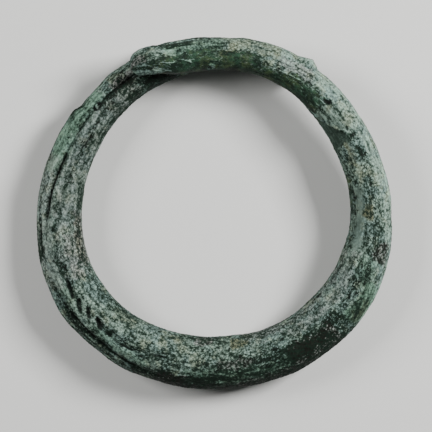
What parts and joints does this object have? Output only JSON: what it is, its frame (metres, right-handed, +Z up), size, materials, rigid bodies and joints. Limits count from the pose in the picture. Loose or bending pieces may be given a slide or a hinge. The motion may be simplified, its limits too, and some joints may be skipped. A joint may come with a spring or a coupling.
{
  "type": "coiled bracelet",
  "caption": "Ancient bronze bracelet: a solid tapering bar coiled into a ring whose upper end lies over its lower end, under a worn green patina.",
  "frame": {"origin": "on the plane that the bracelet lies on, under the middle of its outline", "axes": "+Z up, along the way through the opening; +Y towards the overlapping ends; +X to the right as seen from above"},
  "size_m": [0.0822, 0.0816, 0.0144],
  "materials": {
    "patinated_bronze": "cast and hammered tin bronze under a rough grey-green corrosion crust, with brown-black bare patches and pits"
  },
  "bodies": {
    "root": {"bracelet": "patinated_bronze"}
  },
  "joints": []
}
